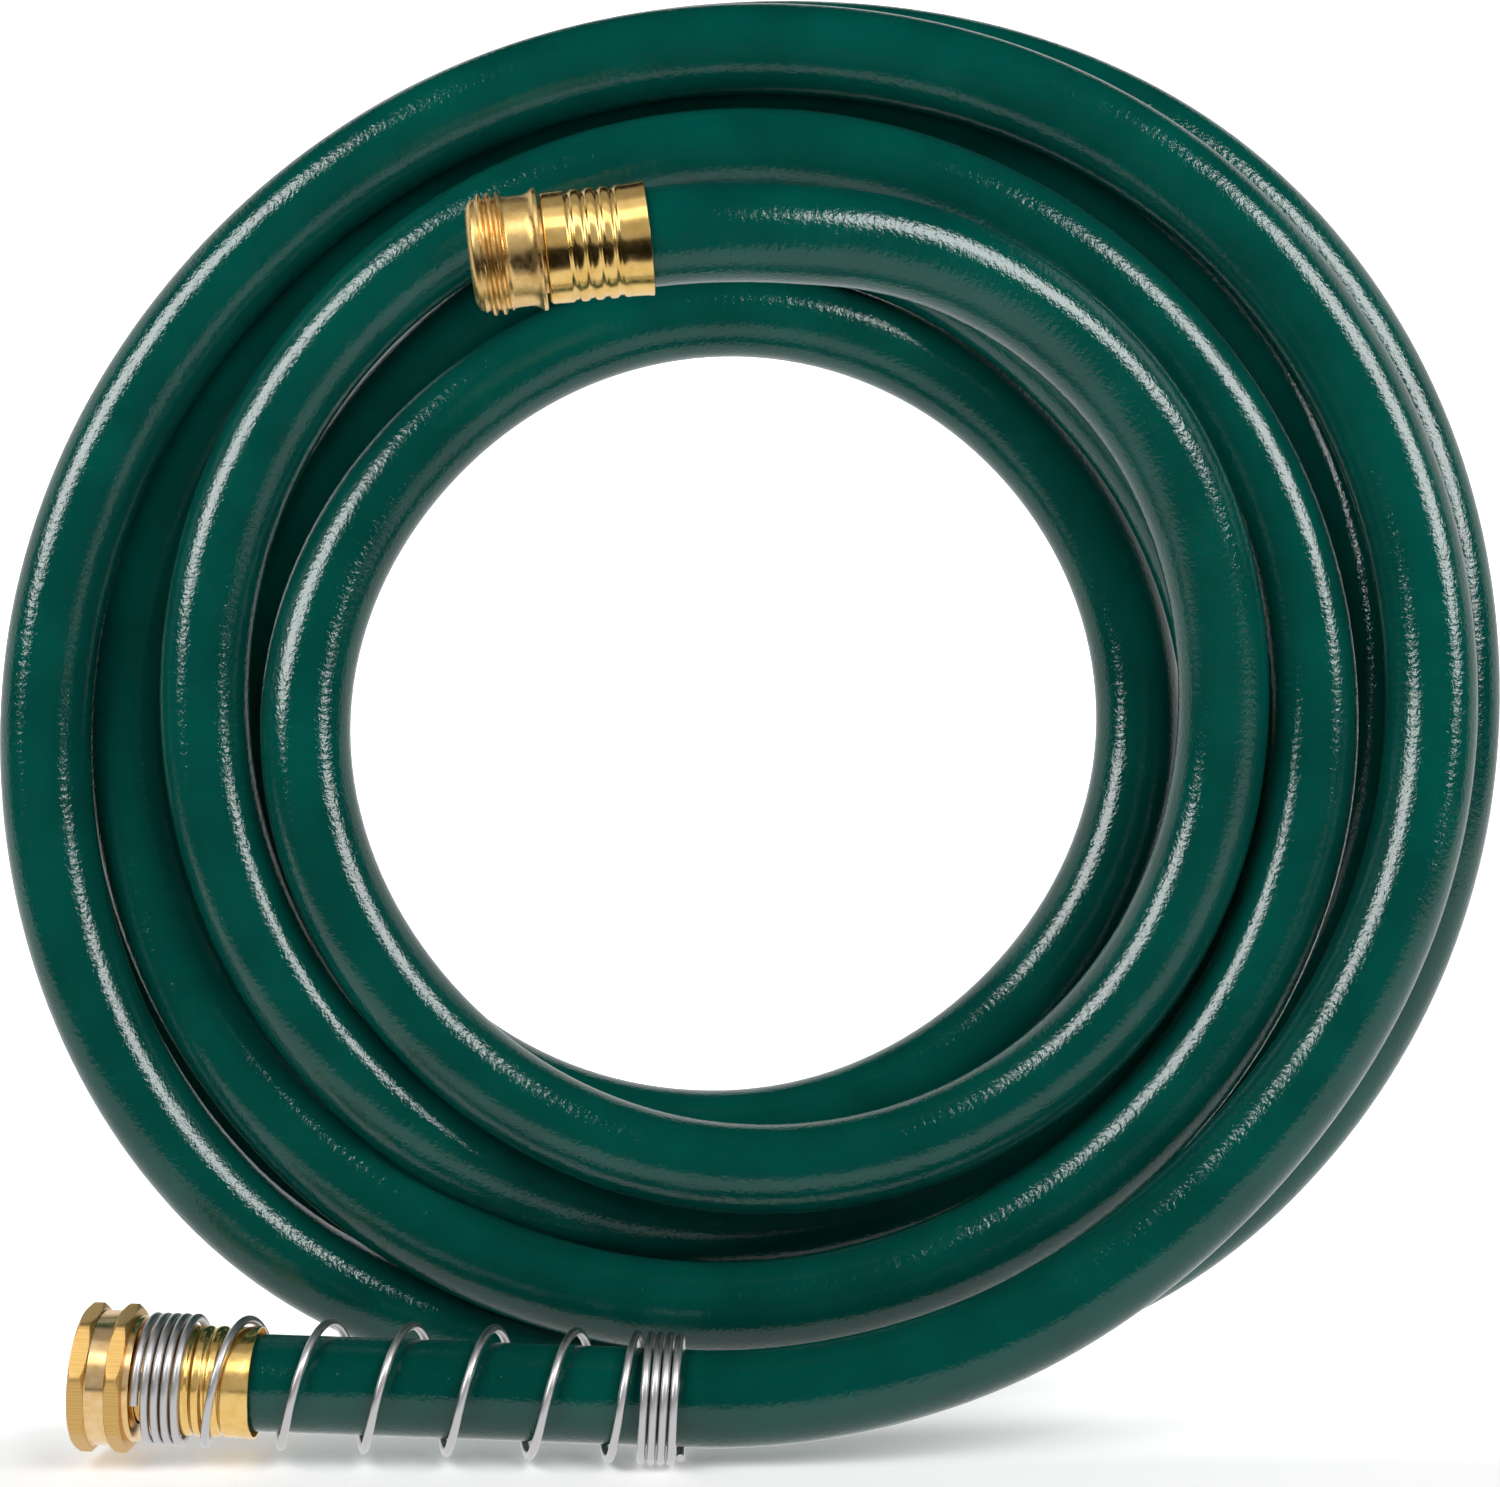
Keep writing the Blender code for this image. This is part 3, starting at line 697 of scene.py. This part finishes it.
def male_coupling():
    """The round nose, the thread, the waisted neck and the bead that the ferrule butts on."""
    neck_end = MALE_BEAD_START - MALE_FLARE
    rows = plain_rows([(0.0, MALE_BORE_RADIUS)])
    rows += plain_rows(quarter_round((0.0, MALE_NOSE_FLAT), (MALE_THREAD_START, MALE_THREAD_ROOT)))
    rows += [(along, male_thread, 0) for along in spaced(MALE_THREAD_START, MALE_THREAD_END, THREAD_ROW)[1:]]
    rows += plain_rows(
        [
            (MALE_THREAD_END + THREAD_RUNOUT, MALE_NECK_RADIUS),
            (neck_end, MALE_NECK_RADIUS),
            *[(neck_end + share * MALE_FLARE, MALE_NECK_RADIUS + rise) for share, rise in MALE_FLARE_ROWS],
            (MALE_BEAD_START, MALE_BEAD_RADIUS - TURNED_EDGE),
            (MALE_BEAD_START + TURNED_EDGE, MALE_BEAD_RADIUS),
            (MALE_BODY_LENGTH - TURNED_EDGE, MALE_BEAD_RADIUS),
            (MALE_BODY_LENGTH, MALE_BEAD_RADIUS - TURNED_EDGE),
            (MALE_BODY_LENGTH, TAILPIECE_RADIUS),
            (MALE_HOSE_FACE - SEAT_GAP, TAILPIECE_RADIUS),
            (MALE_HOSE_FACE - SEAT_GAP, MALE_BORE_RADIUS),
        ]
    )
    finish = brass("turned_brass", TURNED_BRASS, TURNED_TARNISH, *TURNED_FINISH)
    mesh = turned_mesh("male_coupling_body", rows, male_frame())
    return add_piece("male_coupling_body", mesh, [finish], "hose", "male_coupling")


def ferrule_rows(start):
    """A drawn sleeve: rounded shoulder, plain band, ridges between crimped grooves, and a rolled mouth."""
    shoulder_start = (start, FERRULE_RADIUS - FERRULE_SHOULDER)
    shoulder_end = (start + FERRULE_SHOULDER, FERRULE_RADIUS - FERRULE_SHOULDER_DROP)
    outside = quarter_round(shoulder_start, shoulder_end, steps=4)
    crimped = start + FERRULE_BAND
    for ridge in range(FERRULE_RIDGES):
        groove = crimped + ridge * FERRULE_RIDGE_PITCH
        for step in range(FERRULE_GROOVE_STEPS + 1):
            share = step / FERRULE_GROOVE_STEPS
            dip = FERRULE_GROOVE_DEPTH * math.sin(math.pi * share) ** FERRULE_GROOVE_POWER
            outside.append((groove + FERRULE_GROOVE * share, FERRULE_RADIUS - dip))
        crown = groove + FERRULE_GROOVE + (FERRULE_RIDGE_PITCH - FERRULE_GROOVE) / 2
        outside.append((crown, FERRULE_RADIUS + FERRULE_CROWN))
    end = start + FERRULE_LENGTH
    outside.append((crimped + FERRULE_RIDGES * FERRULE_RIDGE_PITCH, FERRULE_RADIUS))
    outside += [(end + along, FERRULE_MOUTH_RADIUS + rise) for along, rise in FERRULE_MOUTH_ROWS]
    bore = HOSE_RADIUS + SEAT_GAP
    inside = [
        (end - FERRULE_MOUTH_DEPTH, bore),
        (start + FERRULE_LIP, bore),
        (start + FERRULE_LIP, TAILPIECE_RADIUS + SEAT_GAP),
        (start, TAILPIECE_RADIUS + SEAT_GAP),
    ]
    return plain_rows(outside + inside)


def ferrules():
    """The same crimped sleeve at both ends of the hose."""
    finish = brass("pressed_brass", PRESSED_BRASS, PRESSED_TARNISH, *PRESSED_FINISH)
    made = []
    for name, start, at in (
        ("male_ferrule", FERRULE_START_MALE, male_frame()),
        ("female_ferrule", FERRULE_START_FEMALE, female_frame()),
    ):
        mesh = turned_mesh(name + "_sleeve", ferrule_rows(start), at)
        made.append(add_piece(name + "_sleeve", mesh, [finish], "hose", name))
    return made


def nut_flats(circle):
    """The radius of a collar that was turned to this circle before its flats were planed."""

    def radius(along, angle):
        past_corner = (angle - (math.pi / 2 - NUT_CORNER_ELEVATION)) % (math.tau / NUT_SIDES)
        from_middle = past_corner - math.pi / NUT_SIDES
        return min(circle(along), NUT_FLAT_RADIUS / math.cos(from_middle))

    return radius


def collar_rows(start, end):
    """One collar's rows, with a chamfer that cuts its corners at both edges."""

    def circle(along):
        depth = min(along - start, end - along)
        lost = (NUT_CORNER_RADIUS - NUT_CHAMFER_RADIUS) * held(1 - depth / NUT_CHAMFER)
        return NUT_CORNER_RADIUS - lost

    flats = nut_flats(circle)
    places = spaced(start, start + NUT_CHAMFER, NUT_CHAMFER_ROW)
    places += spaced(end - NUT_CHAMFER, end, NUT_CHAMFER_ROW)
    return [(along, flats, 1) for along in places]


def swivel_nut():
    """Two eight-sided collars with a polished band between, a shoulder, and the thread inside."""
    rows = plain_rows([(0.0, NUT_MOUTH_RADIUS), (0.0, NUT_CHAMFER_RADIUS - NUT_FACE_EDGE)])
    rows += collar_rows(0.0, NUT_FRONT_COLLAR)
    rows += plain_rows(
        [
            (NUT_FRONT_COLLAR, NUT_BAND_RADIUS + NUT_EDGE),
            (NUT_FRONT_COLLAR + NUT_EDGE, NUT_BAND_RADIUS),
            (NUT_BAND_END - NUT_EDGE, NUT_BAND_RADIUS),
            (NUT_BAND_END, NUT_BAND_RADIUS + NUT_EDGE),
        ]
    )
    rows += collar_rows(NUT_BAND_END, NUT_BACK_COLLAR_END)
    rows += plain_rows(
        [
            (NUT_BACK_COLLAR_END, NUT_SHOULDER_RADIUS),
            (NUT_LENGTH - 3 * NUT_EDGE, NUT_SHOULDER_RADIUS),
            (NUT_LENGTH - NUT_EDGE, NUT_SHOULDER_RADIUS - NUT_EDGE),
            (NUT_LENGTH, NUT_SHOULDER_RADIUS - 3 * NUT_EDGE),
            (NUT_LENGTH, NUT_LIP_RADIUS),
            (NUT_LENGTH - NUT_LIP, NUT_LIP_RADIUS),
            (NUT_LENGTH - NUT_LIP, NUT_THREAD_RADIUS),
        ]
    )
    threaded = spaced(NUT_THREAD_START, NUT_THREAD_END, THREAD_ROW)
    rows += [(along, nut_thread, 0) for along in reversed(threaded)]
    satin = brass("nut_brass", NUT_BRASS, TURNED_TARNISH, *NUT_FINISH)
    first_angle = math.pi / 2 - NUT_CORNER_ELEVATION
    mesh = turned_mesh("nut_body", rows, female_frame(), NUT_SIDES * NUT_SIDES_PER_FLAT, first_angle)
    return add_piece("nut_body", mesh, [satin, planed_brass()], "nut", "swivel_nut")


def washer():
    """The flat ring that the tap's thread presses on, with rounded edges."""
    edge = WASHER_ROUND
    corner = 0.3 * edge
    rows = [
        (WASHER_NEAR + edge, MALE_BORE_RADIUS),
        (WASHER_NEAR, MALE_BORE_RADIUS + edge),
        (WASHER_NEAR, WASHER_RADIUS - edge),
        (WASHER_NEAR + corner, WASHER_RADIUS - corner),
        (WASHER_NEAR + edge, WASHER_RADIUS),
        (WASHER_FAR - edge, WASHER_RADIUS),
        (WASHER_FAR, WASHER_RADIUS - edge),
        (WASHER_FAR, MALE_BORE_RADIUS + edge),
        (WASHER_FAR - edge, MALE_BORE_RADIUS),
    ]
    mesh = turned_mesh("rubber_washer", plain_rows(rows), female_frame())
    return add_piece("rubber_washer", mesh, [washer_rubber()], "nut", "hose_washer")


def spring_pitch(turn):
    """How far the wire moves along the hose per turn, as in the CAD model."""
    opening = (turn - CLOSED_TURNS_AT_NUT) / PITCH_CHANGE_TURNS
    closing = (CLOSED_TURNS_AT_NUT + OPEN_TURNS + PITCH_CHANGE_TURNS - turn) / PITCH_CHANGE_TURNS
    share = held(min(opening, closing))
    return CLOSED_PITCH + (OPEN_PITCH - CLOSED_PITCH) * share * share * (3 - 2 * share)


def spring_guard():
    """The wire's helix round the female ferrule and the tail."""
    at = female_frame()
    turns = CLOSED_TURNS_AT_NUT + OPEN_TURNS + PITCH_CHANGE_TURNS + CLOSED_TURNS_AT_END
    along = SPRING_START
    path = []
    for step in range(round(turns * WIRE_STEPS_PER_TURN) + 1):
        turn = step / WIRE_STEPS_PER_TURN
        angle = SPRING_START_ANGLE - math.tau * turn
        place = Vector((along, SPRING_RADIUS * math.cos(angle), SPRING_RADIUS * math.sin(angle)))
        path.append(at @ place)
        along += spring_pitch(turn + 0.5 / WIRE_STEPS_PER_TURN) / WIRE_STEPS_PER_TURN
    mesh = tube_mesh("spring_wire", path, WIRE_RADIUS, WIRE_SIDES)
    return add_piece("spring_wire", mesh, [bright_wire()], "hose", "spring_guard")


def hose():
    """The hose as one round tube on its true route, from ferrule to ferrule."""
    path = hose_route()
    length = sum((after - before).length for before, after in zip(path, path[1:]))
    mesh = tube_mesh("garden_hose", path, HOSE_RADIUS, HOSE_SIDES)
    made = add_piece("garden_hose", mesh, [green_vinyl()], "hose", "hose_coil", "hose_tail", "hose_male_end")
    return made, path, length


def camera():
    data = bpy.data.cameras.new("camera")
    data.sensor_width = SENSOR_MM
    data.lens = SENSOR_MM * FOCAL_PIXELS / IMAGE_WIDTH
    data.clip_start = CAMERA_NEAR
    made = new_object("camera", data)
    made.location = CAMERA_PLACE + CENTRING
    made.rotation_euler = (math.radians(90), 0, 0)
    bpy.context.scene.camera = made


def softbox(name, place, lean, size, radiance):
    """An area light at place that faces the coil, with its height along lean."""
    data = bpy.data.lights.new(name, "AREA")
    data.shape = "RECTANGLE"
    data.size, data.size_y = size
    data.energy = radiance * math.pi * size[0] * size[1]
    z_axis = (place - LIGHTS_AIM).normalized()
    x_axis = lean.cross(z_axis).normalized()
    turn = Matrix((x_axis, z_axis.cross(x_axis), z_axis)).transposed().to_4x4()
    made = new_object(name, data)
    made.matrix_world = Matrix.Translation(place) @ turn
    return made


def level_sheet(name, corners, finish):
    """A flat sheet at the floor's height with these corners."""
    mesh = bpy.data.meshes.new(name)
    mesh.from_pydata([(x, y, 0) for x, y in corners], [], [tuple(range(len(corners)))])
    mesh.materials.append(finish)
    made = new_object(name, mesh)
    return made


def studio_floor():
    """A white floor that takes the coil's shadows near its front and is plain white elsewhere."""
    white = material("studio_white", (FLOOR_WHITE, FLOOR_WHITE, FLOOR_WHITE), FLOOR_ROUGHNESS)
    tree = white.node_tree
    parts = tree.nodes.new("ShaderNodeSeparateXYZ")
    tree.links.new(place_in_metres(tree), parts.inputs[0])
    shader = tree.nodes["Principled BSDF"]
    shader.inputs["Emission Color"].default_value = WHITE
    glow_behind = ramp(tree, parts.outputs["Y"], FLOOR_GLOW_FROM, FLOOR_GLOW_TO, FLOOR_GLOW, 1.0)
    glow_before = ramp(tree, parts.outputs["Y"], -FLOOR_FAR, -FLOOR_NEAR, 1.0, 0.0)
    glow_beside = ramp(tree, add_math(tree, "ABSOLUTE", parts.outputs["X"]), FLOOR_NEAR, FLOOR_FAR, 0.0, 1.0)
    glow = add_math(tree, "MAXIMUM", glow_behind, add_math(tree, "MAXIMUM", glow_before, glow_beside))
    tree.links.new(glow, shader.inputs["Emission Strength"])
    far = FLOOR_HALF
    floor = level_sheet("studio_floor", ((-far, -far), (far, -far), (far, far), (-far, far)), white)
    floor.visible_glossy = False


def studio_card():
    """What the gloss sees of the floor: a white table top with its front edge just before the coil."""
    glow = material("studio_card", (0, 0, 0), 1.0)
    shader = glow.node_tree.nodes["Principled BSDF"]
    shader.inputs["Specular IOR Level"].default_value = 0.0
    shader.inputs["Emission Color"].default_value = WHITE
    shader.inputs["Emission Strength"].default_value = CARD_LIGHT
    card = level_sheet("studio_card", CARD_CORNERS, glow)
    card.location.z = -CARD_BELOW
    card.visible_camera = False
    card.visible_diffuse = False
    card.visible_shadow = False


def studio_air():
    """A white wall behind for reflections, dark air all round it, and a white background."""
    world = bpy.data.worlds.new("studio_air")
    world.use_nodes = True
    tree = world.node_tree
    heading = tree.nodes.new("ShaderNodeTexCoord").outputs["Generated"]
    parts = tree.nodes.new("ShaderNodeSeparateXYZ")
    tree.links.new(heading, parts.inputs[0])
    wall = ramp(tree, parts.outputs["Y"], WALL_FROM, WALL_FROM + WALL_FADE, AIR_DARK, WALL_LIGHT)
    low_enough = ramp(tree, parts.outputs["Z"], WALL_TOP, WALL_TOP + WALL_TOP_FADE, 1.0, 0.0)
    around_coil = add_math(tree, "MULTIPLY", wall, low_enough)
    seen = tree.nodes.new("ShaderNodeLightPath").outputs["Is Camera Ray"]
    strength = add_math(tree, "MULTIPLY_ADD", seen, BACKGROUND_LIGHT, around_coil)
    background = tree.nodes["Background"]
    background.inputs["Color"].default_value = WHITE
    tree.links.new(strength, background.inputs["Strength"])
    bpy.context.scene.world = world


def mirrored(place, side):
    return Vector((side * place.x, place.y, place.z))


def collection_of(name, pieces):
    made = bpy.data.collections.new(name)
    for piece in pieces:
        made.objects.link(piece)
    return made


def studio(soft_pieces, metal_pieces):
    """The floor, the air and the lights, where the metal's own softboxes are dimmer than the vinyl's."""
    soft = collection_of("soft", soft_pieces)
    metal = collection_of("metal", metal_pieces)
    studio_floor()
    studio_card()
    studio_air()
    for label, side in (("left", -1), ("right", 1)):
        lean = mirrored(GLOSS_BOX_LEAN, side)
        place = mirrored(GLOSS_BOX_PLACE, side)
        kinds = (("gloss", GLOSS_BOX_RADIANCE, soft), ("metal", METAL_BOX_RADIANCE, metal))
        for kind, radiance, receivers in kinds:
            box = softbox(label + "_" + kind + "_box", place, lean, GLOSS_BOX_SIZE, radiance)
            box.visible_diffuse = False
            box.light_linking.receiver_collection = receivers
        place = mirrored(SHADE_BOX_PLACE, side)
        shade = softbox(label + "_shade_box", place, UPRIGHT, SHADE_BOX_SIZE, SHADE_BOX_RADIANCE)
        shade.visible_glossy = False
    fills = (
        softbox("metal_fill", FILL_PLACE, UPRIGHT, FILL_SIZE, FILL_RADIANCE),
        softbox("metal_strip", STRIP_PLACE, UPRIGHT, STRIP_SIZE, STRIP_RADIANCE),
        softbox("metal_top_fill", TOP_FILL_PLACE, UPRIGHT, TOP_FILL_SIZE, TOP_FILL_RADIANCE),
    )
    for fill in fills:
        fill.light_linking.receiver_collection = metal
    bpy.context.scene.view_settings.view_transform = "Standard"


def tailpiece():
    """The CAD model's own flanged tube, in a better material."""
    finish = brass("tailpiece_brass", TURNED_BRASS, TURNED_TARNISH, *TAILPIECE_FINISH)
    made = frame["nodes"]["female_tailpiece"]
    for slot in made.material_slots:
        slot.material = finish
    return made


cord = hose()
metal_pieces = [male_coupling(), *ferrules(), swivel_nut(), tailpiece(), spring_guard()]
soft_pieces = [cord[0], washer()]
camera()
studio(soft_pieces, metal_pieces)
